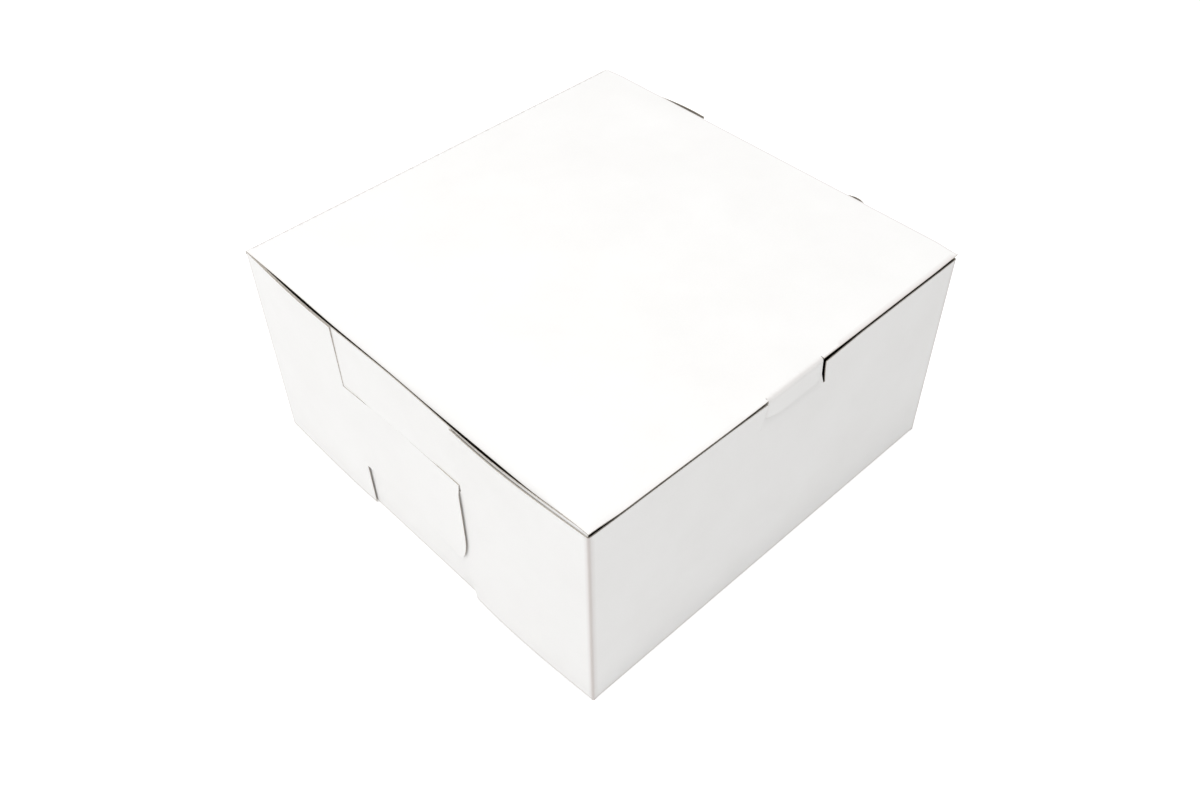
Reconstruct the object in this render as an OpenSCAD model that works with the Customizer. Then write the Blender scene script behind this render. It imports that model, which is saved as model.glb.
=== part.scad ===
// A bakery box, folded from one die-cut blank of white-coated paperboard.
// The tray has a base, a front wall, a back wall and two side panels. Each side
// is closed by three layers: the side panel inside, then the front wall's end
// flap, then the back wall's end flap, whose tongue laps over the front flap.
// The lid hinges on the back wall's top crease. Its tab drops through two slits
// in the front wall, and the tab's ears catch behind the corners beside them.
// The origin is at the middle of the underside, +Z is up, and the front wall,
// with the lid's lock, faces -Y. Lengths are in millimetres, angles in degrees.

/* [Box] */
// Width from side to side, over the corners
box_w = 254; // [200:1:320]
// Depth from the front wall to the back wall
box_d = 254; // [220:1:320]
// Height from the table to the top of the closed lid
box_h = 127; // [105:1:180]
// Thickness of the paperboard
board_t = 0.5; // [0.4:0.05:0.7]
// Outer radius of the folds
fold_r = 0.7; // [0.5:0.05:0.9]

/* [Fits] */
// Air between two layers of a side wall
layer_gap = 0.15; // [0.1:0.05:0.3]
// Air between the closed lid and the walls' top edges
lid_gap = 0.15; // [0.1:0.05:0.4]
// Height of the end flaps' lower edges above the table
flap_lift = 0.4; // [0.2:0.1:1]
// Gap between a side panel's ends and the front and back walls
panel_end_gap = 0.3; // [0.2:0.1:1]

/* [Back end flap] */
// Length of the flap above its tongue, from the back corner
back_flap_l = 78; // [60:0.5:85]
// Length of the flap below its tongue, from the back corner
back_foot_l = 83.5; // [60:0.5:88]
// Depth of the notch above the tongue, from the wall's top edge
tongue_drop = 39.5; // [25:0.5:45]
// Height of the tongue's lower edge where it leaves the flap
tongue_root_h = 31; // [28:0.5:35]
// Height of the tongue's lower edge at its end
tongue_tip_h = 25.6; // [20:0.5:28]
// Length of the tongue's rounded lower corner, along the box
tongue_round_l = 10; // [4:0.5:15]
// Height of the tongue's rounded lower corner
tongue_round_h = 22; // [8:0.5:24]
// How far the tongue ends short of the line of the front flap's edge
tongue_shy = 1; // [0.5:0.5:5]
// How far the flap stands out at its crest
back_bow = 2.8; // [1:0.1:5]
// Distance of that crest from the back corner
back_crest = 66; // [50:1:75]

/* [Front end flap] */
// Length of the flap above the tongue, from the front corner
front_flap_l = 84.5; // [70:0.5:95]
// Length of the flap at its foot, from the front corner
front_foot_l = 83; // [70:0.5:95]
// Height at which the slanting foot edge runs under the back flap's tongue
front_hook_h = 26; // [20:0.5:28]
// How far the foot edge leans towards the back by that height
front_hook_lean = 7.5; // [2:0.5:12]
// Length of the hidden tongue that runs under the back flap's tongue
lock_lap = 28; // [20:0.5:32]
// Distance of the hidden tongue's edges inside the outer tongue's edges
lock_inset = 4; // [2:0.5:8]
// Chamfer of the hidden tongue's corners
lock_chamfer = 8; // [3:0.5:12]
// How far the flap stands out at its crest
front_bow = 3.8; // [1:0.1:6]
// Distance of that crest from the front corner
front_crest = 72; // [50:1:78]

/* [Front wall lock] */
// How much lower the front wall is cut than the other walls
front_drop = 1.2; // [0.5:0.1:1.4]
// Half the distance between the two slits at the top edge
slit_top = 18.7; // [14:0.1:25]
// Half the distance between the two slits at their feet
slit_foot = 23.9; // [19.5:0.1:30]
// Depth of the slits
slit_d = 16.5; // [15.5:0.5:20]
// Where the bent corner's crease meets the top edge, from the middle
corner_crease = 48; // [44:0.5:60]
// Bend of the corners beside the slits, outwards
corner_bend = 3.5; // [3:0.5:8]
// Bend of the tongue between the slits, inwards
throat_bend = 8; // [7.5:0.5:10]
// Air at each side of the tongue between the slits
slit_gap = 0.15; // [0.1:0.05:0.3]

/* [Lid] */
// Gap between the lid's back edge and the crease it turns on
crease_gap = 0.3; // [0.25:0.05:0.5]
// Length of the tab below the lid's top face
tab_drop = 10; // [8:0.5:10.5]
// Gap between the tab's neck and the slits at the top edge
neck_gap = 0.5; // [0.3:0.1:1]
// How far each ear of the tab reaches past the top of its slit
ear_reach = 8; // [5:0.5:9]
// Depth of the ear's upper edge below the lid's top face
ear_top = 2.6; // [2:0.1:3.5]
// Depth of the ear's rounded tip below the lid's top face
ear_tip = 5; // [4:0.1:5.5]
// Bend of the ears, inwards, so that they pass behind the bent corners
ear_bend = 5; // [4.5:0.5:8]

/* [Hidden] */

board_white = [0.96, 0.955, 0.945];
lid_white = [0.985, 0.985, 0.98];

// Length of one straight step along a bowed flap
bow_step = 6;
// Number of steps round the tongue's lower corner
round_steps = 8;

wall_top = box_h - board_t - lid_gap;
front_top = wall_top - front_drop;
slit_foot_h = front_top - slit_d;
layer_pitch = board_t + layer_gap;
tongue_top_h = wall_top - tongue_drop;
front_edge_s = box_d - front_flap_l;
tongue_end = front_edge_s - tongue_shy;
lock_end = tongue_end - lock_lap;
tight_s = (back_flap_l + tongue_end) / 2;
front_crest_s = box_d - front_crest;

// Outward bow of the end flaps, by the distance s from the back corner

// Smooth rise from 0 to 1
function ease(q) = (1 - cos(180 * min(1, max(0, q)))) / 2;

// Front flap: out from the front corner to its crest, then in to the tight place
function front_out(s) =
    s >= front_crest_s
        ? front_bow * sin(90 * max(0, box_d - fold_r - s) / (front_crest - fold_r))
        : front_bow * (1 - ease((front_crest_s - s) / (front_crest_s - tight_s)));

// Back flap: out to its crest, in to the tight place, then out over the front flap
function back_out(s) =
    s <= back_crest
        ? back_bow * sin(90 * max(0, s - fold_r) / (back_crest - fold_r))
        : s <= tight_s
            ? back_bow * (1 - ease((s - back_crest) / (tight_s - back_crest)))
            : front_out(s) + layer_pitch * ease((s - tight_s) / (lock_end - tight_s));

// Evenly spaced distances from one place to another
function stations(from, to) =
    let (count = ceil((to - from) / bow_step))
    [for (i = [0:count]) from + (to - from) * i / count];

// Outline of the back end flap, as distance from the back corner and height
function back_flap_outline() = concat(
    [
        [0, flap_lift],
        [back_foot_l, flap_lift],
        [back_foot_l, tongue_root_h]
    ],
    [
        for (i = [0:round_steps])
        let (turn = 90 * i / round_steps)
        [
            tongue_end - tongue_round_l * (1 - sin(turn)),
            tongue_tip_h + tongue_round_h * (1 - cos(turn))
        ]
    ],
    [
        [tongue_end, tongue_top_h],
        [back_flap_l, tongue_top_h],
        [back_flap_l, wall_top],
        [0, wall_top]
    ]
);

// Outline of the front end flap, as distance from the back corner and height
function front_flap_outline() =
    let (
        foot_s = box_d - front_foot_l,
        hook_s = foot_s - front_hook_lean,
        low_h = tongue_root_h + lock_inset,
        high_h = tongue_top_h - lock_inset
    )
    [
        [box_d, flap_lift],
        [box_d, wall_top],
        [front_edge_s, wall_top],
        [front_edge_s, high_h],
        [lock_end + lock_chamfer, high_h],
        [lock_end, high_h - lock_chamfer],
        [lock_end, low_h + lock_chamfer],
        [lock_end + lock_chamfer, low_h],
        [hook_s - lock_inset, low_h],
        [hook_s, front_hook_h],
        [foot_s, flap_lift]
    ];

// Turns an outline of distances and heights into a slab across the -X side
module side_slab(outline) {
    slab = layer_pitch + max(back_bow, front_bow) + board_t;
    translate([-box_w / 2 - slab, 0, 0])
        rotate([90, 0, 90])
        linear_extrude(height = 2 * slab)
        polygon([for (p = outline) [box_d / 2 - p[0], p[1]]]);
}

// Board standing on its edge along a bowed line, given by the outward
// distances at the stations along the -X side
module bowed_board(places, outward) {
    outer = [
        for (i = [0:len(places) - 1])
        [-box_w / 2 - outward[i], box_d / 2 - places[i]]
    ];
    inner = [
        for (i = [len(places) - 1:-1:0])
        [outer[i][0] + board_t, outer[i][1]]
    ];
    linear_extrude(height = wall_top)
        polygon(concat(outer, inner));
}

// Back wall's end flap with its long tongue, on the -X side
module back_end_flap() {
    places = concat([0], stations(fold_r, tight_s), stations(tight_s + bow_step, tongue_end));
    intersection() {
        bowed_board(places, [for (s = places) back_out(s)]);
        side_slab(back_flap_outline());
    }
}

// Front wall's end flap with its hidden tongue, on the -X side
module front_end_flap() {
    places = concat(stations(lock_end, box_d - fold_r), [box_d]);
    intersection() {
        bowed_board(places, [for (s = places) front_out(s)]);
        side_slab(front_flap_outline());
    }
}

// What a rounded fold takes off the sharp edge along the z axis, where a board's
// outer faces look towards -X and -Y
module fold_cut(l) {
    difference() {
        translate([-fold_r, -fold_r, -l / 2])
            cube([2 * fold_r, 2 * fold_r, l]);
        translate([fold_r, fold_r, -l])
            cylinder(r = fold_r, h = 2 * l, $fn = 32);
    }
}

// Side panel that rises from the base's crease, inside both end flaps
module side_panel() {
    panel_l = box_d - 2 * (board_t + panel_end_gap);
    translate([-box_w / 2 + layer_pitch, -panel_l / 2, 0])
        cube([board_t, panel_l, wall_top]);
}

// Both end flaps of the -X side
module end_flaps() {
    front_end_flap();
    back_end_flap();
}

// Base with both side panels folded up from it
module base_panel() {
    base_w = box_w - 2 * layer_pitch;
    difference() {
        union() {
            translate([-base_w / 2, -box_d / 2, 0])
                cube([base_w, box_d, board_t]);
            side_panel();
            mirror([1, 0, 0]) side_panel();
        }
        for (side = [0, 1])
            mirror([side, 0, 0])
                translate([-base_w / 2, 0, 0])
                rotate([90, 0, 0])
                fold_cut(box_d + board_t);
    }
}

module back_wall() {
    translate([-box_w / 2, box_d / 2 - board_t, 0])
        cube([box_w, board_t, wall_top]);
}

// Board standing in the front wall's plane, from an outline of places across
// the wall and heights above the feet of the slits
module front_board(outline) {
    rotate([90, 0, 0])
        translate([0, 0, -board_t])
        linear_extrude(height = board_t)
        polygon(outline);
}

// Tongue between the slits, bent inwards about the line of their feet
module throat_flap() {
    translate([0, -box_d / 2, slit_foot_h])
        rotate([-throat_bend, 0, 0])
        front_board([
            [-slit_foot + slit_gap, 0],
            [slit_foot - slit_gap, 0],
            [slit_top - slit_gap, slit_d],
            [-slit_top + slit_gap, slit_d]
        ]);
}

// Corner beside the slit on the +X half, bent outwards about a slanting crease
module slit_corner() {
    crease_turn = atan2(slit_d, corner_crease - slit_foot);
    translate([slit_foot, -box_d / 2 + board_t, slit_foot_h])
        rotate([0, -crease_turn, 0])
        rotate([corner_bend, 0, 0])
        rotate([0, crease_turn, 0])
        translate([0, -board_t, 0])
        front_board([
            [0, 0],
            [corner_crease - slit_foot, slit_d],
            [slit_top - slit_foot, slit_d]
        ]);
}

module front_wall() {
    difference() {
        translate([-box_w / 2, -box_d / 2, 0])
            cube([box_w, board_t, front_top]);
        translate([0, -box_d / 2 - board_t, slit_foot_h])
            rotate([90, 0, 0])
            translate([0, 0, -3 * board_t])
            linear_extrude(height = 3 * board_t)
            polygon([
                [-slit_foot, 0],
                [slit_foot, 0],
                [corner_crease, slit_d],
                [corner_crease, slit_d + board_t],
                [-corner_crease, slit_d + board_t],
                [-corner_crease, slit_d]
            ]);
    }
    throat_flap();
    slit_corner();
    mirror([1, 0, 0]) slit_corner();
}

// What the folds along the foot of the front wall and up its left corner take off
module wall_fold_cuts() {
    translate([0, -box_d / 2, 0])
        rotate([90, 0, 90])
        fold_cut(box_w + board_t);
    translate([-box_w / 2, -box_d / 2, wall_top / 2])
        fold_cut(wall_top + board_t);
}

module tray() {
    color(board_white)
        difference() {
            union() {
                base_panel();
                front_wall();
                back_wall();
                end_flaps();
                mirror([1, 0, 0]) end_flaps();
            }
            wall_fold_cuts();
            rotate([0, 0, 180]) wall_fold_cuts();
            mirror([1, 0, 0]) wall_fold_cuts();
            mirror([0, 1, 0]) wall_fold_cuts();
        }
}

// Ear on the +X half of the lock tab, bent inwards where it leaves the neck
module tab_ear() {
    neck = slit_top - neck_gap;
    reach = ear_reach + neck_gap;
    translate([neck, -box_d / 2, box_h])
        rotate([0, 0, ear_bend])
        front_board([
            [-board_t, -ear_top + 0.1],
            [0, -ear_top + 0.5],
            [1, -ear_top],
            [reach - 1.5, -ear_top - 0.6],
            [reach, -ear_tip],
            [reach - 1.8, -ear_tip - 1.4],
            [3, -tab_drop + 0.9],
            [0, -tab_drop + 0.1],
            [-board_t, -tab_drop + 0.1]
        ]);
}

// Lid's lock tab: a neck between the slits, and an ear at each side that sits
// behind the bent corner
module lock_tab() {
    neck = slit_top - neck_gap;
    difference() {
        translate([-neck, -box_d / 2, box_h - tab_drop])
            cube([2 * neck, board_t, tab_drop]);
        translate([0, -box_d / 2, box_h])
            mirror([0, 0, 1])
            rotate([90, 0, 90])
            fold_cut(box_w);
    }
    tab_ear();
    mirror([1, 0, 0]) tab_ear();
}

// Lid panel with the tab folded down from its front edge
module lid() {
    neck = slit_top - neck_gap;
    color(lid_white) {
        difference() {
            translate([-box_w / 2, -box_d / 2, box_h - board_t])
                cube([box_w, box_d - crease_gap, board_t]);
            translate([0, -box_d / 2, box_h])
                mirror([0, 0, 1])
                rotate([90, 0, 90])
                fold_cut(2 * neck);
        }
        lock_tab();
    }
}

tray();
lid();
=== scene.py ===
import math

import bpy
import numpy as np
from mathutils import Matrix, Vector
from mathutils.geometry import delaunay_2d_cdt


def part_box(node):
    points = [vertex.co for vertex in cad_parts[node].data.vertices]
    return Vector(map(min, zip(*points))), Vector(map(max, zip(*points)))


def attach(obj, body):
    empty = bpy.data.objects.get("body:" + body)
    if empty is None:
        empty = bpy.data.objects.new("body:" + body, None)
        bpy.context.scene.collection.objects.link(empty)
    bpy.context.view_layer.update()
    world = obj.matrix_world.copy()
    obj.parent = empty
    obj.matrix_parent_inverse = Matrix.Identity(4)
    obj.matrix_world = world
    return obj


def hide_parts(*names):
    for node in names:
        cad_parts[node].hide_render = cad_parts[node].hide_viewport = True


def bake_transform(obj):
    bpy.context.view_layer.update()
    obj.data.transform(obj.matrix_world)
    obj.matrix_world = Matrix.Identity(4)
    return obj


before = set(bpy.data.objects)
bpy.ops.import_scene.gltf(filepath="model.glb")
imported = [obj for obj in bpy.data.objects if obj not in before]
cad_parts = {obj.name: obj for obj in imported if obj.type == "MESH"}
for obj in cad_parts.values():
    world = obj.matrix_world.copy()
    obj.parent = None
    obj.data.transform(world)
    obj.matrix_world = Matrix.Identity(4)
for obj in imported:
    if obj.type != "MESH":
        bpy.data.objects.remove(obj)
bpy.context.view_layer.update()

scene = bpy.context.scene
scene.view_settings.view_transform = "Standard"

# The camera
# It stands in front of the box's left corner and looks down on the lid, from the
# photograph's place: the angles, distance and aim come from the box's corners.
LENS_MM = 35.46
SENSOR_MM = 36.0
AZIMUTH = math.radians(-43.06)
ELEVATION = math.radians(45.26)
ROLL = math.radians(-0.88)
DISTANCE = 0.6405
AIM_RIGHT = -0.0006
AIM_UP = -0.0282
AIM_HEIGHT = 0.0635

back = Vector((
    math.sin(AZIMUTH) * math.cos(ELEVATION),
    -math.cos(AZIMUTH) * math.cos(ELEVATION),
    math.sin(ELEVATION),
))
right = Vector((math.cos(AZIMUTH), math.sin(AZIMUTH), 0))
up = back.cross(right)
tilted_right = math.cos(ROLL) * right + math.sin(ROLL) * up
tilted_up = back.cross(tilted_right)
camera_data = bpy.data.cameras.new("camera")
camera_data.lens = LENS_MM
camera_data.sensor_width = SENSOR_MM
camera_data.clip_start = 0.01
camera_data.clip_end = 50
camera = bpy.data.objects.new("camera", camera_data)
turn = Matrix((tilted_right, tilted_up, back)).transposed().to_4x4()
aim = Vector((0, 0, AIM_HEIGHT)) + AIM_RIGHT * right + AIM_UP * up
camera.matrix_world = Matrix.Translation(aim + back * DISTANCE) @ turn
scene.collection.objects.link(camera)
scene.camera = camera

# The studio
# A pale floor and a white surround, with soft lamps: a large one overhead, one at
# the left that lights the side wall, and one at the left of the front.
FLOOR_HALF = 3.0
FLOOR_ALBEDO = 0.80
FLOOR_LIFT = 0.50
WORLD_LIGHT = 0.62


def new_material(name):
    made = bpy.data.materials.new(name)
    made.use_nodes = True
    made.node_tree.nodes.clear()
    return made, made.node_tree.nodes, made.node_tree.links


def seen_directly(nodes, links):
    """1 for camera, glossy and transmission rays, which see the white surround."""
    path = nodes.new("ShaderNodeLightPath")
    total = nodes.new("ShaderNodeMath")
    total.operation = "ADD"
    links.new(path.outputs["Is Camera Ray"], total.inputs[0])
    links.new(path.outputs["Is Glossy Ray"], total.inputs[1])
    capped = nodes.new("ShaderNodeMath")
    capped.operation = "ADD"
    capped.use_clamp = True
    links.new(total.outputs[0], capped.inputs[0])
    links.new(path.outputs["Is Transmission Ray"], capped.inputs[1])
    return capped.outputs[0]


def make_floor():
    floor_mesh = bpy.data.meshes.new("floor")
    corners = [(-1, -1), (1, -1), (1, 1), (-1, 1)]
    places = [(FLOOR_HALF * x, FLOOR_HALF * y, 0) for x, y in corners]
    floor_mesh.from_pydata(places, [], [(0, 1, 2, 3)])
    floor = bpy.data.objects.new("floor", floor_mesh)
    scene.collection.objects.link(floor)
    paint, nodes, links = new_material("floor_paint")
    matt = nodes.new("ShaderNodeBsdfDiffuse")
    matt.inputs["Color"].default_value = (FLOOR_ALBEDO,) * 3 + (1,)
    glow = nodes.new("ShaderNodeEmission")
    glow.inputs["Color"].default_value = (1, 1, 1, 1)
    strength = nodes.new("ShaderNodeMath")
    strength.operation = "MULTIPLY"
    strength.inputs[1].default_value = FLOOR_LIFT
    links.new(seen_directly(nodes, links), strength.inputs[0])
    links.new(strength.outputs[0], glow.inputs["Strength"])
    both = nodes.new("ShaderNodeAddShader")
    links.new(matt.outputs[0], both.inputs[0])
    links.new(glow.outputs[0], both.inputs[1])
    out = nodes.new("ShaderNodeOutputMaterial")
    links.new(both.outputs[0], out.inputs["Surface"])
    floor_mesh.materials.append(paint)


def make_surround():
    surround = bpy.data.worlds.new("surround")
    surround.use_nodes = True
    nodes, links = surround.node_tree.nodes, surround.node_tree.links
    nodes.clear()
    strength = nodes.new("ShaderNodeMapRange")
    strength.inputs["To Min"].default_value = WORLD_LIGHT
    strength.inputs["To Max"].default_value = 1.0
    links.new(seen_directly(nodes, links), strength.inputs["Value"])
    sky = nodes.new("ShaderNodeBackground")
    sky.inputs["Color"].default_value = (1, 1, 1, 1)
    links.new(strength.outputs[0], sky.inputs["Strength"])
    out = nodes.new("ShaderNodeOutputWorld")
    links.new(sky.outputs[0], out.inputs["Surface"])
    scene.world = surround


def soft_lamp(name, place, size, watts):
    lamp = bpy.data.lights.new(name, "AREA")
    lamp.shape = "DISK"
    lamp.size = size
    lamp.energy = watts
    stand = bpy.data.objects.new(name, lamp)
    stand.location = place
    stand.rotation_euler = (-Vector(place)).to_track_quat("-Z", "Y").to_euler()
    scene.collection.objects.link(stand)


make_floor()
make_surround()
soft_lamp("overhead", (-0.2, 0.12, 1.9), 1.4, 16)
soft_lamp("left", (-1.05, 0.5, 0.6), 0.8, 3.0)
soft_lamp("front", (-0.8, -1.0, 0.7), 0.7, 2.5)

# The tray
# One die-cut sheet of paperboard, white-coated outside and bare kraft inside. It
# is laid out flat here as it is cut, then folded up along its creases: the base,
# the front and back walls with their end flaps, and the two side panels.
lid_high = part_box("lid")[1]
tray_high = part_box("tray")[1]
HALF_W = lid_high.x
HALF_D = tray_high.y
DEPTH = 2 * HALF_D
TOP = lid_high.z
WALL_TOP = tray_high.z
BOARD = 0.0005
PITCH = BOARD + 0.00015
CREASE_R = 0.0010
BASE_HALF = HALF_W - PITCH
PANEL_HALF = HALF_D - BOARD - 0.0006

BACK_FLAP = 0.0780
BACK_FOOT = 0.0835
TONGUE_TOP = WALL_TOP - 0.0395
TONGUE_ROOT = 0.0310
TONGUE_TIP = 0.0256
TONGUE_ROUND = (0.0100, 0.0220)
TONGUE_SHY = 0.0010
FRONT_FLAP = 0.0845
FRONT_FOOT = 0.0830
HOOK_HEIGHT = 0.0260
HOOK_LEAN = 0.0075
LOCK_LAP = 0.0280
LOCK_INSET = 0.0040
LOCK_CHAMFER = 0.0080
FRONT_EDGE = DEPTH - FRONT_FLAP
TONGUE_END = FRONT_EDGE - TONGUE_SHY
LOCK_END = TONGUE_END - LOCK_LAP

# How far the boards of each side stand out at their crests: the back flap at its
# foot and its top, the front flap at its foot, its middle and its top, and the top
# of the side panel at the back crest, at the tight place and at the front crest.
BACK_CREST = 0.068
FRONT_CREST = 0.064
TIGHT = (BACK_FLAP + TONGUE_END) / 2
LEFT_SIDE = {
    "back": (0.0014, 0.0030),
    "front": (0.0028, 0.0015, 0.0040),
    "panel": (0.0029, 0.0023, 0.0035),
}
RIGHT_SIDE = {
    "back": (0.0014, 0.0041),
    "front": (0.0006, 0.0006, 0.0006),
    "panel": (0.0003, 0.0004, 0.0005),
}
# A leaning side panel curves by this power of its height, and the tongue holds
# the front flap in between its foot and its top by this one
LEAN_POWER = 1.4
HELD_POWER = 4
# Above this height the side panel fills out towards its back crest, over this much
FILL_FROM = 0.040
FILL_OVER = 0.045
# The right side's back flap stays flat near its corner and its end springs out
RIGHT_KICK = 0.024
# The right side's front flap has a small pucker in its top edge
PUCKER_AT = 0.189
PUCKER_WIDTH = 0.007
PUCKER_OUT = 0.0036
# The outer tongue holds the side panel in. Just above its top edge the panel
# springs out by this much, flush with the tongue, and less so at the ends and
# higher up.
PRESS_IN = 0.00070
PRESS_HALF = 0.022
PRESS_END = 0.012
PRESS_EARLY = 0.0003
PRESS_EDGE = 0.0008
PRESS_FLAT = 0.002
PRESS_FADE = 0.025
# The outer tongue's lower end springs out a little
TONGUE_SPRING = 0.0006
SPRING_REACH = 0.014
SPRING_TOP = 0.078
SPRING_FADE = 0.008
# The outer tongue's upper edge lies almost flat on the layers below it
FLAT_SHARE = 0.85
FLAT_OVER = 0.006
# The base's left edge is pushed out a little in its middle
BASE_BULGE = 0.0006
BULGE_FROM = 0.090
BULGE_ENDS = 0.060
# Slight waves of the walls, and how far they stay clear of creases and top edges
WALL_WAVES = 0.00016
WAVE_CLEAR = 0.03
WAVE_TOP_CLEAR = 0.02

# The lock is cut a little to the right of the middle. Its left slit is shut and
# its right one stands open.
LOCK_MIDDLE = 0.0018
SLIT_TOP = 0.0201
SLIT_FOOT = 0.0229
SLIT_DEPTH = 0.0152
LEFT_SLIT_GAP = 0.00015
RIGHT_SLIT_GAP = 0.0012
CORNER_CREASE = 0.048
LEFT_CORNER_BEND = math.radians(1.5)
RIGHT_CORNER_BEND = math.radians(3.5)
THROAT_BEND = math.radians(8)
THROAT_FADE = 0.003
SOFT_BEND = 0.0015
# The front wall is cut a little lower, and rises to its end flaps at the corners
FRONT_TOP = WALL_TOP - 0.0026
FRONT_RAMP = 0.014
# Its top is pushed out a little in the middle, and the lid's front edge with it
FRONT_BULGE = 0.0006

# Painted shade along the creases and the end flaps' feet: its strength, its spread in crease radii, and
# the share of it on the front wall and its flaps
CREASE_STRENGTH = 1.2
CREASE_SPREAD = 1.8
FRONT_CREASES = 0.90

SHEET_STEP = 0.0045
EDGE_STEP = 0.0030
LOCK_GRID_HALF = 0.052
LOCK_GRID_STEP = 0.0013
CREASE_MARKS = CREASE_R * np.array([-1.5, -1, -0.75, -0.5, -0.25, 0, 0.25, 0.5, 0.75, 1, 1.5])


def ease(q):
    return (1 - np.cos(np.pi * np.clip(q, 0, 1))) / 2


def crest_line(s, back, tight, front, kick=0.0):
    """A side's outward bow at distance s from the back corner: out to the back
    crest, in to the tight place, out to the front crest and in to the corner."""
    front_at = DEPTH - FRONT_CREST
    arch = np.sin(np.pi / 2 * np.clip(s / BACK_CREST, 0, 1))
    rise = back * (ease((s - kick) / (BACK_CREST - kick)) if kick else arch)
    dip = tight + (back - tight) * (1 - ease((s - BACK_CREST) / (TIGHT - BACK_CREST)))
    climb = tight + (front - tight) * ease((s - TIGHT) / (front_at - TIGHT))
    fall = front * np.sin(np.pi / 2 * np.clip((DEPTH - s) / FRONT_CREST, 0, 1))
    return np.select([s <= BACK_CREST, s <= TIGHT, s <= front_at], [rise, dip, climb], fall)


def lean(z):
    """Share of the side panel's lean at height z."""
    return np.clip(z / WALL_TOP, 0, 1) ** LEAN_POWER


def back_bow_at(bow, z):
    """The back flap's bow at height z, from its values at the foot and the top."""
    return bow[0] + (bow[1] - bow[0]) * np.clip(z / WALL_TOP, 0, 1)


def front_bow_at(bow, z):
    """The front flap's bow at height z. The tongue holds it in at mid-height."""
    up = np.clip(z / WALL_TOP, 0, 1)
    return bow[1] + (bow[0] - bow[1]) * (1 - up) ** HELD_POWER + (bow[2] - bow[1]) * up ** HELD_POWER


def panel_out(s, z, side):
    back, tight, front = side["panel"]
    full = np.sin(np.pi / 2 * np.clip(z / WALL_TOP, 0, 1))
    early = lean(z) + (full - lean(z)) * ease((z - FILL_FROM) / FILL_OVER)
    out = crest_line(s, early * back, lean(z) * tight, lean(z) * front)
    beside = 1 - ease((np.abs(s - TIGHT) - PRESS_HALF) / PRESS_END)
    start = ease((z - TONGUE_TOP + PRESS_EARLY) / PRESS_EDGE)
    above = start * (1 - ease((z - TONGUE_TOP - PRESS_FLAT) / PRESS_FADE))
    return out + PRESS_IN * beside * above


def front_out(s, z, side):
    tight = lean(z) * side["panel"][1]
    out = crest_line(s, 0 * z, tight, front_bow_at(side["front"], z))
    pucker = PUCKER_OUT * np.exp(-((s - PUCKER_AT) / PUCKER_WIDTH) ** 2) * lean(z) ** 2
    return out + (pucker if side is RIGHT_SIDE else 0)


def back_out(s, z, side):
    tight = lean(z) * side["panel"][1]
    kick = RIGHT_KICK if side is RIGHT_SIDE else 0.0
    near = crest_line(s, back_bow_at(side["back"], z), tight, tight, kick)
    flat = FLAT_SHARE * ease((z - TONGUE_TOP) / FLAT_OVER + 1)
    lap = ease((s - TIGHT) / (LOCK_END - TIGHT)) * (1 - flat)
    over = front_out(s, z, side) + PITCH * lap
    low = 1 - ease((z - SPRING_TOP) / SPRING_FADE)
    spring = TONGUE_SPRING * ease((s - TONGUE_END + SPRING_REACH) / SPRING_REACH) * low
    return np.where(s <= TIGHT, near, over + spring)


def on_each_side(out, p, s, z):
    """A bow with the left side's or the right side's values."""
    return np.where(p < 0, out(s, z, LEFT_SIDE), out(s, z, RIGHT_SIDE))


def around_corner(d, w, radius):
    """Folds a sheet through a right angle. d is the distance past the crease and
    w the depth below the outer face. It gives the distances in from the second
    panel's outer plane and from the first one's."""
    theta = np.pi / 4 * (1 + np.clip(d / radius, -1, 1))
    a = radius - (radius - w) * np.sin(theta)
    b = radius - (radius - w) * np.cos(theta)
    a = np.where(d <= -radius, -d, np.where(d >= radius, w, a))
    b = np.where(d <= -radius, w, np.where(d >= radius, d, b))
    return a, b


def soft_hinge(h):
    """Distance past a soft crease: 0 before it, h after it, rounded between."""
    middle = (h + SOFT_BEND) ** 2 / (4 * SOFT_BEND)
    return np.where(h <= -SOFT_BEND, 0, np.where(h >= SOFT_BEND, h, middle))


def slit_half(drop):
    """Half the distance between the slits, at a depth below the top edge."""
    return SLIT_TOP + (SLIT_FOOT - SLIT_TOP) * np.clip(drop / SLIT_DEPTH, 0, 1) ** 1.2


def front_bulge(p):
    return FRONT_BULGE * np.sin(np.pi * np.clip((p + HALF_W) / (2 * HALF_W), 0, 1)) ** 2


def lock_bends(p, z):
    """Inward shift of the front wall beside and between the slits."""
    across = np.abs(p - LOCK_MIDDLE)
    gap = np.where(p < LOCK_MIDDLE, LEFT_SLIT_GAP, RIGHT_SLIT_GAP)
    drop = FRONT_TOP - z
    height = SLIT_DEPTH - drop
    slant = math.atan2(SLIT_DEPTH, CORNER_CREASE - SLIT_FOOT)
    corner_h = -(across - SLIT_FOOT) * math.sin(slant) + height * math.cos(slant)
    inside = np.where(
        drop < SLIT_DEPTH,
        across < slit_half(drop) - gap / 2,
        across < SLIT_FOOT,
    )
    fade = np.where(drop < SLIT_DEPTH, 1, np.clip((SLIT_FOOT - across) / THROAT_FADE, 0, 1))
    throat = soft_hinge(height) * math.sin(THROAT_BEND) * fade
    bend = np.where(p < 0, math.sin(LEFT_CORNER_BEND), math.sin(RIGHT_CORNER_BEND))
    corner = -soft_hinge(corner_h) * bend
    return np.where(inside, throat, corner)


def gentle_waves(u, v, size):
    """Slight unevenness of a large panel of board, in metres."""
    return size * (
        np.sin(31 * u + 1.3) * np.sin(27 * v + 0.4)
        + 0.6 * np.sin(53 * u - 24 * v + 2.1)
        + 0.4 * np.sin(19 * u + 71 * v)
    )


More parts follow.
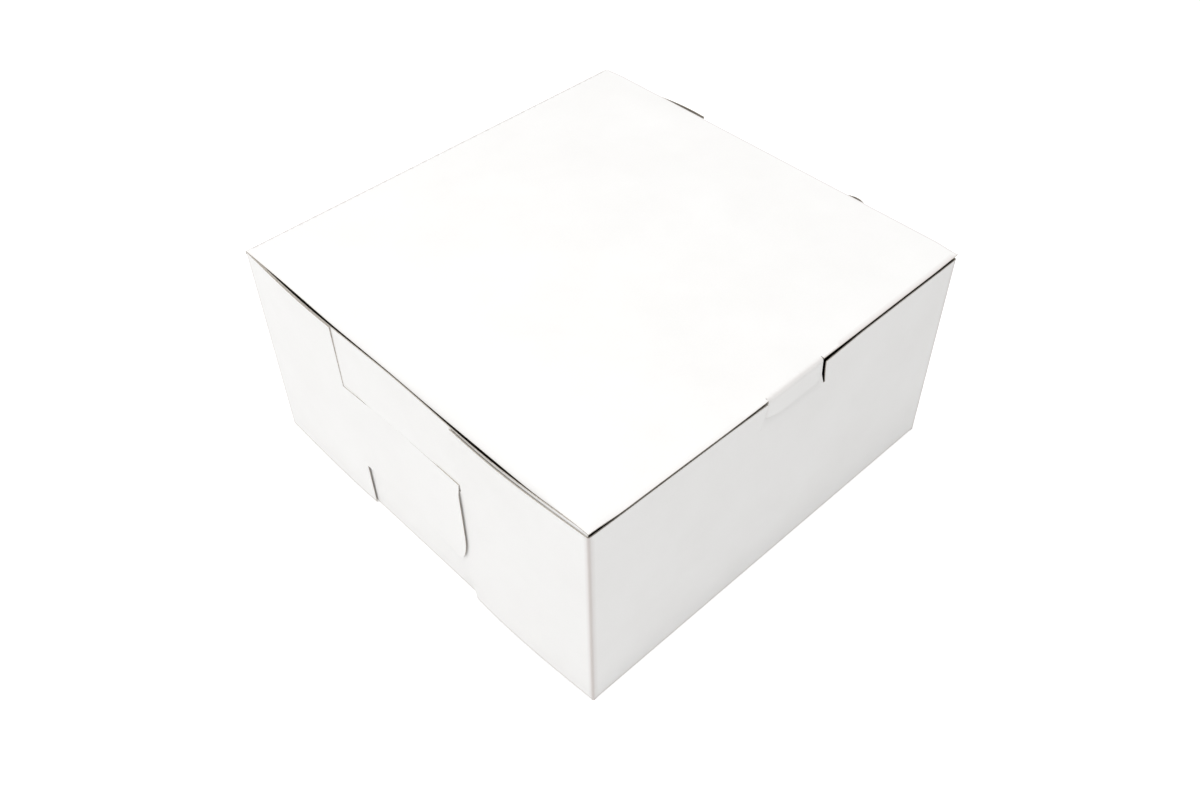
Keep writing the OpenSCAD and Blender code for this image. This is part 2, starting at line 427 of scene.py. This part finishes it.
def fold_tray(p, q, w):
    """Folds the flat blank up into the tray. p and q are places on the blank,
    from the base's middle, and w is the depth below the coated face."""
    side, across = np.sign(p), np.abs(p)
    end, along = np.sign(q), np.abs(q)
    in_wall = along > HALF_D - CREASE_R

    wall_a, wall_b = around_corner(along - HALF_D, w, CREASE_R)
    x, y, z = p.copy(), end * (HALF_D - wall_a), wall_b
    clear = np.clip((HALF_W - across) / WAVE_CLEAR, 0, 1) * np.clip((along - HALF_D) / WAVE_CLEAR, 0, 1)
    top_clear = np.clip((HALF_D + WALL_TOP - along) / WAVE_TOP_CLEAR, 0, 1)
    y = y + end * gentle_waves(p, z, WALL_WAVES) * clear * top_clear
    plain = across < HALF_W - CREASE_R
    front_shift = lock_bends(p, z) - front_bulge(p) * np.clip(z / WALL_TOP, 0, 1) ** 2
    y = np.where(plain & (end < 0), y + front_shift, y)

    flap_a, flap_b = around_corner(across - HALF_W, w, CREASE_R)
    height = along - HALF_D
    far = np.where(end < 0, DEPTH - flap_b, flap_b)
    front_bow = on_each_side(front_out, p, far, height)
    back_bow = on_each_side(back_out, p, far, height)
    bow = np.where(end < 0, front_bow, back_bow)
    is_flap = across > HALF_W - CREASE_R
    x = np.where(is_flap, side * (HALF_W - flap_a + bow), x)
    y = np.where(is_flap, end * (HALF_D - flap_b), y)
    z = np.where(is_flap, height, z)

    panel_a, panel_b = around_corner(across - BASE_HALF, w, CREASE_R)
    bulge = np.where(across > BASE_HALF, on_each_side(panel_out, p, HALF_D - q, panel_b), 0)
    base_x = np.where(across > BASE_HALF - CREASE_R, side * (BASE_HALF - panel_a + bulge), p)
    base_z = np.where(across > BASE_HALF - CREASE_R, panel_b, w)
    pushed = ease((-p - BULGE_FROM) / (BASE_HALF - BULGE_FROM)) * ease((HALF_D - along) / BULGE_ENDS)
    base_x = base_x - BASE_BULGE * pushed * (1 - lean(base_z))
    return np.stack([
        np.where(in_wall, x, base_x),
        np.where(in_wall, y, q),
        np.where(in_wall, z, base_z),
    ], axis=1)


def tray_creases(p, q):
    """How close a place on the blank is to a crease, from 0 to 1: the strength of the painted shade
    along the creases. The feet of the end flaps get the same painted shade."""
    across, along = np.abs(p), np.abs(q)
    gaps = [
        np.where(across < HALF_W, np.abs(along - HALF_D), 1),
        np.where(along > HALF_D, np.abs(across - HALF_W), 1),
        np.where(along < HALF_D, np.abs(across - BASE_HALF), 1),
        np.where((across > HALF_W) & (along > HALF_D), along - HALF_D, 1),
    ]
    close = np.clip(CREASE_STRENGTH - np.min(gaps, axis=0) / (CREASE_SPREAD * CREASE_R), 0, 1)
    return close * np.where((q < 0) & (along > HALF_D), FRONT_CREASES, 1)


def split_edges(outline, step, marks):
    """Adds points along an outline's edges, also where they cross the creases."""
    points = []
    for (p0, q0), (p1, q1) in zip(outline, outline[1:] + outline[:1]):
        length = math.hypot(p1 - p0, q1 - q0)
        shares = set(np.linspace(0, 1, max(1, math.ceil(length / step)) + 1)[:-1])
        for axis, value in marks:
            start, stop = (p0, p1) if axis == 0 else (q0, q1)
            if abs(stop - start) > 1e-9:
                share = (value - start) / (stop - start)
                if 0.0 < share < 1.0:
                    shares.add(share)
        last = -1.0
        for share in sorted(shares):
            if (share - last) * length > 2e-5:
                points.append((p0 + share * (p1 - p0), q0 + share * (q1 - q0)))
                last = share
    return points


def even(start, stop, step):
    return np.linspace(start, stop, max(1, round(abs(stop - start) / step)) + 1)


def rows(ps, qs):
    return [(p, q) for p in ps for q in qs]


def inside(points, outline):
    """Which points lie inside an outline."""
    pts = np.array(points)
    keep = np.zeros(len(pts), bool)
    for (p0, q0), (p1, q1) in zip(outline, outline[1:] + outline[:1]):
        if q0 == q1:
            continue
        crosses = (q0 > pts[:, 1]) != (q1 > pts[:, 1])
        at = p0 + (pts[:, 1] - q0) * (p1 - p0) / (q1 - q0)
        keep ^= crosses & (pts[:, 0] < at)
    return keep


def board_piece(name, outline, grid, fold, creases, finish, coated_up=False):
    """Cuts a flat outline from board, folds it and gives it its thickness. The
    three finishes are the coated face, the bare face and the cut edge. A blank
    that is laid out with its coated face up has its faces the other way round."""
    points = outline + np.array(grid)[inside(grid, outline)].tolist()
    edges = [(i, (i + 1) % len(outline)) for i in range(len(outline))]
    flat, _, tris = delaunay_2d_cdt([Vector(p) for p in points], edges, [], 0, 1e-6, False)[:3]
    p = np.array([v.x for v in flat])
    q = np.array([v.y for v in flat])
    corners = np.array(tris)
    centres = np.stack([p[corners].mean(axis=1), q[corners].mean(axis=1)], axis=1)
    tris = corners[inside(centres, outline)].tolist()
    count = len(flat)
    outer = fold(p, q, np.zeros(count))
    inner = fold(p, q, np.full(count, BOARD))
    sides = {(i, j) for tri in tris for i, j in zip(tri, tri[1:] + tri[:1])}
    rim = sorted((i, j) for i, j in sides if (j, i) not in sides)
    faces = [tri[::-1] for tri in tris]
    faces += [[i + count for i in tri] for tri in tris]
    faces += [[i, j, j + count, i + count] for i, j in rim]
    if coated_up:
        faces = [face[::-1] for face in faces]
    mesh = bpy.data.meshes.new(name)
    mesh.from_pydata(np.concatenate([outer, inner]).tolist(), [], faces)
    numbers = [0] * len(tris) + [1] * len(tris) + [2] * len(rim)
    mesh.polygons.foreach_set("material_index", numbers)
    mesh.polygons.foreach_set("use_smooth", [True] * len(numbers))
    for material in finish:
        mesh.materials.append(material)
    layout = mesh.uv_layers.new(name="blank")
    loops = np.zeros(len(mesh.loops), np.int32)
    mesh.loops.foreach_get("vertex_index", loops)
    places = np.stack([np.tile(p, 2), np.tile(q, 2)], axis=1)
    layout.data.foreach_set("uv", places[loops].astype(np.float32).ravel())
    # The crease attribute holds painted shade along creases and cut edges, which the coated face's
    # colour mixes in
    painted_shade = mesh.attributes.new("crease", "FLOAT", "POINT")
    painted_shade.data.foreach_set("value", np.tile(creases(p, q), 2).astype(np.float32))
    mesh.set_sharp_from_angle(angle=math.radians(50))
    mesh.validate()
    made = bpy.data.objects.new(name, mesh)
    scene.collection.objects.link(made)
    return made


def socket_link(nodes, links, kind, inputs=(), **settings):
    """Makes a node, sets it, and joins or fills its inputs by name or number."""
    node = nodes.new(kind)
    for key, value in settings.items():
        setattr(node, key, value)
    for key, value in inputs:
        if isinstance(value, bpy.types.NodeSocket):
            links.new(value, node.inputs[key])
        else:
            node.inputs[key].default_value = value
    return node


def coated_board():
    """White clay coating: smooth, nearly matt, with a faint mottle, and painted shade along the creases
    and the cut edges."""
    made, nodes, links = new_material("coated_board")
    flat = socket_link(nodes, links, "ShaderNodeUVMap", uv_map="blank").outputs["UV"]
    cloud = socket_link(nodes, links, "ShaderNodeTexNoise", [
        ("Vector", flat), ("Scale", 22.0), ("Detail", 3.0), ("Roughness", 0.6)])
    fibre = socket_link(nodes, links, "ShaderNodeTexNoise", [
        ("Vector", flat), ("Scale", 900.0), ("Detail", 2.0), ("Roughness", 0.6)])
    tone = socket_link(nodes, links, "ShaderNodeValToRGB", [("Fac", cloud.outputs["Fac"])])
    tone.color_ramp.elements[0].position = 0.3
    tone.color_ramp.elements[0].color = (0.842, 0.834, 0.822, 1)
    tone.color_ramp.elements[1].position = 0.7
    tone.color_ramp.elements[1].color = (0.868, 0.862, 0.852, 1)
    speck = socket_link(nodes, links, "ShaderNodeMapRange", [
        ("Value", fibre.outputs["Fac"]), ("From Min", 0.3), ("From Max", 0.7),
        ("To Min", 0.985), ("To Max", 1.0)])
    mottled = socket_link(nodes, links, "ShaderNodeVectorMath", [
        (0, tone.outputs["Color"]), (1, speck.outputs[0])], operation="MULTIPLY")
    # Painted shade: the crease attribute darkens the coating to a pinkish grey
    crease = socket_link(nodes, links, "ShaderNodeAttribute", attribute_name="crease")
    share = socket_link(nodes, links, "ShaderNodeMath", [
        (0, crease.outputs["Fac"]), (1, 0.76)], operation="MULTIPLY")
    colour = socket_link(nodes, links, "ShaderNodeMix", [
        ("Factor", share.outputs[0]), (6, mottled.outputs[0]), (7, (0.52, 0.455, 0.43, 1))],
        data_type="RGBA")
    bump = socket_link(nodes, links, "ShaderNodeBump", [
        ("Height", fibre.outputs["Fac"]), ("Strength", 0.10), ("Distance", 0.0002)])
    shader = socket_link(nodes, links, "ShaderNodeBsdfPrincipled", [
        ("Base Color", colour.outputs[2]), ("Roughness", 0.55), ("Normal", bump.outputs[0])])
    shader.inputs["Specular IOR Level"].default_value = 0.35
    out = nodes.new("ShaderNodeOutputMaterial")
    links.new(shader.outputs[0], out.inputs["Surface"])
    return made


def bare_board():
    """Uncoated inside: grey-brown, with streaky fibres and darker flecks."""
    made, nodes, links = new_material("bare_board")
    flat = socket_link(nodes, links, "ShaderNodeUVMap", uv_map="blank").outputs["UV"]
    stretched = socket_link(nodes, links, "ShaderNodeMapping", [
        ("Vector", flat), ("Scale", (1, 0.18, 1))])
    streak = socket_link(nodes, links, "ShaderNodeTexNoise", [
        ("Vector", stretched.outputs[0]), ("Scale", 1500.0), ("Detail", 4.0), ("Roughness", 0.65)])
    cloud = socket_link(nodes, links, "ShaderNodeTexNoise", [
        ("Vector", flat), ("Scale", 60.0), ("Detail", 4.0)])
    mixed = socket_link(nodes, links, "ShaderNodeMix", [
        ("Factor", 0.35), (2, streak.outputs["Fac"]), (3, cloud.outputs["Fac"])])
    tone = socket_link(nodes, links, "ShaderNodeValToRGB", [("Fac", mixed.outputs[0])])
    tone.color_ramp.elements[0].position = 0.32
    tone.color_ramp.elements[0].color = (0.215, 0.192, 0.162, 1)
    tone.color_ramp.elements[1].position = 0.68
    tone.color_ramp.elements[1].color = (0.430, 0.395, 0.345, 1)
    bump = socket_link(nodes, links, "ShaderNodeBump", [
        ("Height", streak.outputs["Fac"]), ("Strength", 0.25), ("Distance", 0.0002)])
    shader = socket_link(nodes, links, "ShaderNodeBsdfPrincipled", [
        ("Base Color", tone.outputs["Color"]), ("Roughness", 0.85), ("Normal", bump.outputs[0])])
    shader.inputs["Specular IOR Level"].default_value = 0.2
    out = nodes.new("ShaderNodeOutputMaterial")
    links.new(shader.outputs[0], out.inputs["Surface"])
    return made


def cut_edge():
    """Die-cut edge: the grey-brown core of the board, rough with torn fibres."""
    made, nodes, links = new_material("cut_edge")
    place = nodes.new("ShaderNodeTexCoord").outputs["Object"]
    fibre = socket_link(nodes, links, "ShaderNodeTexNoise", [
        ("Vector", place), ("Scale", 1400.0), ("Detail", 3.0), ("Roughness", 0.7)])
    tone = socket_link(nodes, links, "ShaderNodeValToRGB", [("Fac", fibre.outputs["Fac"])])
    tone.color_ramp.elements[0].position = 0.35
    tone.color_ramp.elements[0].color = (0.350, 0.315, 0.275, 1)
    tone.color_ramp.elements[1].position = 0.65
    tone.color_ramp.elements[1].color = (0.600, 0.560, 0.505, 1)
    shader = socket_link(nodes, links, "ShaderNodeBsdfPrincipled", [
        ("Base Color", tone.outputs["Color"]), ("Roughness", 0.9)])
    shader.inputs["Specular IOR Level"].default_value = 0.15
    out = nodes.new("ShaderNodeOutputMaterial")
    links.new(shader.outputs[0], out.inputs["Surface"])
    return made


BOARD_FINISH = [coated_board(), bare_board(), cut_edge()]


def back_flap_points():
    """The back end flap's edge, as distance from the back corner and height."""
    corner = [
        (TONGUE_END - TONGUE_ROUND[0] * (1 - math.sin(turn)),
         TONGUE_TIP + TONGUE_ROUND[1] * (1 - math.cos(turn)))
        for turn in np.linspace(0, math.pi / 2, 13)
    ]
    return [
        (CREASE_R, CREASE_R), (BACK_FOOT, CREASE_R), (BACK_FOOT, TONGUE_ROOT), *corner,
        (TONGUE_END, TONGUE_TOP), (BACK_FLAP, TONGUE_TOP), (BACK_FLAP, WALL_TOP),
    ]


def front_flap_points():
    """The front end flap's edge, as distance from the front corner and height."""
    low, high = TONGUE_ROOT + LOCK_INSET, TONGUE_TOP - LOCK_INSET
    hook = FRONT_FOOT + HOOK_LEAN
    far = DEPTH - LOCK_END
    return [
        (FRONT_FLAP, WALL_TOP), (FRONT_FLAP, high), (far - LOCK_CHAMFER, high),
        (far, high - LOCK_CHAMFER), (far, low + LOCK_CHAMFER), (far - LOCK_CHAMFER, low),
        (hook + LOCK_INSET, low), (hook, HOOK_HEIGHT), (FRONT_FOOT, CREASE_R), (CREASE_R, CREASE_R),
    ]


def tray_half_outline(side, back_top):
    """The left (-1) or right (1) half of the blank's edge, from the middle of the
    front wall's top edge round to the middle of the back wall's."""
    front_top = -(HALF_D + FRONT_TOP)
    gap = LEFT_SLIT_GAP if side < 0 else RIGHT_SLIT_GAP
    drops = np.linspace(0, SLIT_DEPTH, 9)
    throat = [(LOCK_MIDDLE + side * (slit_half(d) - gap), front_top + d) for d in drops]
    corner = [(LOCK_MIDDLE + side * slit_half(d), front_top + d) for d in drops[::-1]]
    corner.append((side * (HALF_W - FRONT_RAMP), front_top))
    flap = [(HALF_W + far, -(HALF_D + z)) for far, z in front_flap_points()]
    panel = [
        (BASE_HALF, -HALF_D), (BASE_HALF, -PANEL_HALF), (BASE_HALF + WALL_TOP, -PANEL_HALF),
        (BASE_HALF + WALL_TOP, PANEL_HALF), (BASE_HALF, PANEL_HALF), (BASE_HALF, HALF_D),
    ]
    back_flap = [(HALF_W + far, HALF_D + z) for far, z in back_flap_points()]
    top = [(HALF_W - 0.0002, HALF_D + WALL_TOP), (HALF_W - 0.0002, HALF_D + back_top)]
    return throat + corner + [(side * p, q) for p, q in flap + panel + back_flap + top]


def tray_grid():
    """Points inside the blank: even over the panels, and close at the creases."""
    bands = []
    marks_d = HALF_D + CREASE_MARKS
    marks_w = HALF_W + CREASE_MARKS
    marks_b = BASE_HALF + CREASE_MARKS
    clear = 3 * CREASE_R
    base_p = even(-BASE_HALF + clear, BASE_HALF - clear, SHEET_STEP)
    base_q = even(-HALF_D + clear, HALF_D - clear, SHEET_STEP)
    wall_q = even(HALF_D + clear, HALF_D + WALL_TOP - 0.002, SHEET_STEP)
    flap_p = even(HALF_W + clear, HALF_W + TONGUE_END - 0.002, SHEET_STEP)
    panel_p = even(BASE_HALF + clear, BASE_HALF + WALL_TOP - 0.002, SHEET_STEP)
    press_p = BASE_HALF + TONGUE_TOP + np.array([-0.0004, 0.0002, 0.0009, 0.0020])
    bands += rows(base_p, base_q)
    for end in (-1, 1):
        bands += rows(base_p, end * marks_d)
        bands += rows(base_p, end * wall_q)
        for side in (-1, 1):
            bands += rows(side * marks_w, end * wall_q)
            bands += rows(side * flap_p, end * wall_q)
    for side in (-1, 1):
        bands += rows(side * marks_b, base_q)
        bands += rows(side * panel_p, base_q)
        bands += rows(side * press_p, base_q)
    lock_p = even(-LOCK_GRID_HALF, LOCK_GRID_HALF, LOCK_GRID_STEP)
    lock_q = -(HALF_D + FRONT_TOP) + even(0.0006, 0.021, 0.0012)
    clear_of_lock = [
        b for b in bands
        if abs(b[0]) > LOCK_GRID_HALF + 0.002 or b[1] > -(HALF_D + WALL_TOP) + 0.022
    ]
    return clear_of_lock + rows(lock_p, lock_q)


LID_CREASE_R = 0.0010
CREASE_MARGIN = 0.0015
back_top = TOP - LID_CREASE_R - CREASE_MARGIN
tray_outline = tray_half_outline(-1, back_top) + tray_half_outline(1, back_top)[::-1]
crease_marks = [
    (0, side * (value + mark))
    for side in (-1, 1)
    for value in (HALF_W, BASE_HALF)
    for mark in CREASE_MARKS
]
tray = board_piece(
    "tray_sheet", split_edges(tray_outline, EDGE_STEP, crease_marks), tray_grid(),
    fold_tray, tray_creases, BOARD_FINISH)
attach(tray, "tray")
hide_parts("tray")

# The lid
# The same sheet goes on over the back wall's top crease as the lid. Its front
# edge carries the lock tab, folded down, with an ear at each side that catches
# behind the front wall's bent corners.
TAB_R = 0.0018
TAB_DROP = 0.0110
LEFT_NECK_GAP = 0.0004
RIGHT_NECK_GAP = 0.0016
LID_WAVES = 0.00010
LID_CROWN = 0.00022
EAR_REACH = 0.0080
EAR_TOP = 0.0026
EAR_TIP = 0.0050
NICK = 0.0003
LEFT_EAR_TUCK = 0.0006
RIGHT_EAR_TUCK = 0.0040
# The tab springs out at the middle of its lower edge
TAB_SPRING = 0.0018
# Painted shade along the lid's cut edges, over this width, more on the right half
EDGE_SHADE_WIDTH = 0.0012
LEFT_EDGE_SHADE = 0.20
RIGHT_EDGE_SHADE = 0.60
# The lid's left edge has nothing under it and sags between the leaning panels,
# more in its front half
EDGE_SAG = 0.0019
FRONT_HALF_SAG = 0.0008
# Where the sag starts from the back corner and from the front one, where its
# front half starts, and over how much each grows
SAG_BACK = (0.020, 0.065)
SAG_FRONT = (0.004, 0.035)
SAG_MIDDLE = (0.012, 0.045)
# Its right edge rides up on the upright flaps
EDGE_RISE = 0.0009
RISE_ENDS = 0.015
RISE_REACH = 0.040
SAG_REACH = 0.06
# The tab pulls the lid's front edge down on the lower front wall
LEFT_DRAW_DOWN = 0.0015
RIGHT_DRAW_DOWN = 0.0006
DRAW_REACH = 0.035
LEFT_NECK = SLIT_TOP - LEFT_NECK_GAP
RIGHT_NECK = SLIT_TOP - RIGHT_NECK_GAP
LID_BACK = HALF_D - LID_CREASE_R - CREASE_MARGIN


def neck_half(p):
    return np.where(p < LOCK_MIDDLE, LEFT_NECK, RIGHT_NECK)


def edge_sag(p, q):
    from_back = ease((HALF_D - q - SAG_BACK[0]) / SAG_BACK[1])
    along = from_back * ease((q + HALF_D - SAG_FRONT[0]) / SAG_FRONT[1])
    depth = EDGE_SAG + FRONT_HALF_SAG * ease((SAG_MIDDLE[0] - q) / SAG_MIDDLE[1])
    return depth * along * (1 - ease((p + HALF_W) / SAG_REACH))


def edge_rise(p, q):
    ends = ease((HALF_D - q) / RISE_ENDS) * ease((q + HALF_D) / RISE_ENDS)
    return EDGE_RISE * ease((p - HALF_W + RISE_REACH) / RISE_REACH) * ends


def draw_down(p, q):
    """How far the lid's front edge is pulled down, level towards the corners."""
    depth = LEFT_DRAW_DOWN + (RIGHT_DRAW_DOWN - LEFT_DRAW_DOWN) * ease((p + 0.050) / 0.065)
    return depth * ease((HALF_W - np.abs(p)) / 0.022) * (1 - ease((q + HALF_D) / DRAW_REACH))


def fold_lid(p, q, w):
    """Lays the lid flat on the walls and folds its tab down in front."""
    past = -q - HALF_D
    from_middle = np.abs(p - LOCK_MIDDLE)
    in_tab = (past > -TAB_R) & (from_middle < neck_half(p) + NICK / 2) | (past > 0)
    a, b = around_corner(past, w, TAB_R)
    inward = np.minimum(HALF_W - np.abs(p), np.minimum(HALF_D - q, HALF_D + q))
    crown = (gentle_waves(p, q, LID_WAVES) + LID_CROWN) * np.clip(inward / 0.04, 0, 1)
    in_ear = ease((from_middle - neck_half(p)) / 0.002)
    tuck = np.where(p < LOCK_MIDDLE, LEFT_EAR_TUCK, RIGHT_EAR_TUCK) * in_ear
    spring = TAB_SPRING * np.clip(past / TAB_DROP, 0, 1) * (1 - ease((from_middle - 0.012) / 0.010))
    bulge = front_bulge(p) * (1 - ease((q + HALF_D) / 0.05))
    down = draw_down(p, q)
    return np.stack([
        p,
        np.where(in_tab, -HALF_D + a + tuck - spring, q) - bulge,
        np.where(in_tab, TOP - b, TOP - w + crown - edge_sag(p, q) + edge_rise(p, q)) - down,
    ], axis=1)


def lid_creases(p, q):
    # Painted shade along the tab's fold and, more on the right, along the lid's cut edges
    in_neck = np.abs(p - LOCK_MIDDLE) < neck_half(p)
    gap = np.where(in_neck, np.abs(-q - HALF_D), 1)
    cut = np.minimum(HALF_W - np.abs(p), q + HALF_D)
    edge_shade = np.where(p > 0, RIGHT_EDGE_SHADE, LEFT_EDGE_SHADE) * (cut < EDGE_SHADE_WIDTH / 2) * ~in_neck
    return np.maximum(0.35 * np.clip(1 - gap / (1.6 * TAB_R), 0, 1), edge_shade)


def lid_half_outline(side):
    """The lid's left (-1) or right (1) edge, from the tab round to the back."""
    neck = LEFT_NECK if side < 0 else RIGHT_NECK
    ear = SLIT_TOP + EAR_REACH
    tab = [
        (neck - 0.0005, TAB_DROP), (neck + 0.0030, TAB_DROP - 0.0009),
        (ear - 0.0018, EAR_TIP + 0.0014), (ear, EAR_TIP), (ear - 0.0015, EAR_TOP + 0.0006),
        (neck + 0.0010, EAR_TOP), (neck, EAR_TOP - 0.0010), (neck, -TAB_R),
        (neck + NICK, -TAB_R), (neck + NICK, 0),
    ]
    edge = [(LOCK_MIDDLE + side * p, -HALF_D - d) for p, d in tab]
    return edge + [(side * HALF_W, -HALF_D), (side * HALF_W, LID_BACK)]


def lid_grid():
    inner = HALF_W - EDGE_SHADE_WIDTH
    ps = even(-HALF_W + 0.003, HALF_W - 0.003, SHEET_STEP)
    qs = even(-HALF_D + 0.003, LID_BACK - 0.002, SHEET_STEP)
    edge_q = even(-HALF_D + 0.0012, LID_BACK - 0.001, EDGE_STEP / 2)
    tab_p = even(-0.032, 0.032, 0.0015)
    fold_q = TAB_R * np.linspace(-1.5, 1.5, 13)
    tab_q = -HALF_D - np.concatenate([fold_q, even(0.003, 0.0105, 0.0013)])
    return rows(ps, qs) + rows((-inner, inner), edge_q) + rows(tab_p, tab_q)


lid_outline = lid_half_outline(-1) + lid_half_outline(1)[::-1]
tab_marks = [(1, -HALF_D - TAB_R * m) for m in np.linspace(-1, 1, 9)]
lid = board_piece(
    "lid_sheet", split_edges(lid_outline[::-1], EDGE_STEP, tab_marks), lid_grid(),
    fold_lid, lid_creases, BOARD_FINISH, coated_up=True)
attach(lid, "lid")
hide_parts("lid")

# The lid's crease
# A strip of the same sheet that turns over the back wall's top edge.


def fold_crease(p, q, w):
    a, b = around_corner(q, w, LID_CREASE_R)
    return np.stack([p, HALF_D - b, TOP - a], axis=1)


# Painted shade along the lid's back crease
def crease_strip_shade(p, q):
    return np.clip(1 - np.abs(q) / (1.6 * LID_CREASE_R), 0, 1)


reach = LID_CREASE_R + CREASE_MARGIN
strip_outline = [(-HALF_W, -reach), (HALF_W, -reach), (HALF_W, reach), (-HALF_W, reach)]
strip_marks = [(1, m) for m in CREASE_MARKS]
strip = board_piece(
    "lid_crease", split_edges(strip_outline, EDGE_STEP, strip_marks),
    rows(even(-HALF_W + 0.003, HALF_W - 0.003, SHEET_STEP), CREASE_MARKS),
    fold_crease, crease_strip_shade, BOARD_FINISH)
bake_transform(strip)

# The crease beads
# Where the sheet is creased, its inner face stands up in a narrow bead of crushed
# fibres. It runs along the tray's creases and the tab's, on the hidden inner side.
BEAD_RADIUS = 0.00030
BEAD_SIDES = 8
BEAD_DEPTH = 0.00048
BEAD_STEP = 0.005
# The beads stop this far short of the corners
BEAD_SHORT = 0.003


def bead_tree(finish):
    """A round bead along each line of a mesh. It gives the tree and its inputs."""
    tree = bpy.data.node_groups.new("crease_bead", "GeometryNodeTree")
    tree.interface.new_socket("Lines", in_out="INPUT", socket_type="NodeSocketGeometry")
    radius = tree.interface.new_socket("Bead radius", in_out="INPUT", socket_type="NodeSocketFloat")
    sides = tree.interface.new_socket("Bead sides", in_out="INPUT", socket_type="NodeSocketInt")
    tree.interface.new_socket("Beads", in_out="OUTPUT", socket_type="NodeSocketGeometry")
    nodes, links = tree.nodes, tree.links
    given = nodes.new("NodeGroupInput")
    line = socket_link(nodes, links, "GeometryNodeMeshToCurve", [("Mesh", given.outputs["Lines"])])
    ring = socket_link(nodes, links, "GeometryNodeCurvePrimitiveCircle", [
        ("Resolution", given.outputs["Bead sides"]), ("Radius", given.outputs["Bead radius"])])
    swept = socket_link(nodes, links, "GeometryNodeCurveToMesh", [
        ("Curve", line.outputs[0]), ("Profile Curve", ring.outputs[0]), ("Fill Caps", True)])
    plain = socket_link(nodes, links, "GeometryNodeRealizeInstances", [("Geometry", swept.outputs[0])])
    dressed = socket_link(nodes, links, "GeometryNodeSetMaterial", [
        ("Geometry", plain.outputs[0]), ("Material", finish)])
    result = nodes.new("NodeGroupOutput")
    links.new(dressed.outputs[0], result.inputs["Beads"])
    return tree, {radius.identifier: BEAD_RADIUS, sides.identifier: BEAD_SIDES}


def bead_piece(name, fold, creases, tree, inputs):
    """Beads on the inner face along creases, each a pair of ends on the blank."""
    places, joined = [], []
    for start, stop in creases:
        count = math.ceil(math.dist(start, stop) / BEAD_STEP) + 1
        p, q = np.linspace(start, stop, count).T
        first = len(places)
        places += fold(p, q, np.full(count, BEAD_DEPTH)).tolist()
        joined += [(i, i + 1) for i in range(first, first + count - 1)]
    lines = bpy.data.meshes.new(name)
    lines.from_pydata(places, joined, [])
    made = bpy.data.objects.new(name, lines)
    scene.collection.objects.link(made)
    modifier = made.modifiers.new("beads", "NODES")
    modifier.node_group = tree
    for identifier, value in inputs.items():
        modifier[identifier] = value
    seen = bpy.context.evaluated_depsgraph_get()
    solid = bpy.data.meshes.new_from_object(made.evaluated_get(seen))
    made.modifiers.clear()
    made.data = solid
    return made


tray_lines = []
for side in (-1, 1):
    reach_q = PANEL_HALF - BEAD_SHORT
    reach_p = BASE_HALF - BEAD_SHORT
    tray_lines.append(((side * BASE_HALF, -reach_q), (side * BASE_HALF, reach_q)))
    tray_lines.append(((-reach_p, side * HALF_D), (reach_p, side * HALF_D)))
    for end in (-1, 1):
        foot, top = end * (HALF_D + BEAD_SHORT), end * (HALF_D + WALL_TOP - 0.004)
        tray_lines.append(((side * HALF_W, foot), (side * HALF_W, top)))
tab_line = ((LOCK_MIDDLE - LEFT_NECK + 0.001, -HALF_D), (LOCK_MIDDLE + RIGHT_NECK - 0.001, -HALF_D))
tree, inputs = bead_tree(BOARD_FINISH[2])
tray_beads = bead_piece("tray_beads", fold_tray, tray_lines, tree, inputs)
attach(tray_beads, "tray")
lid_bead = bead_piece("lid_bead", fold_lid, [tab_line], tree, inputs)
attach(lid_bead, "lid")
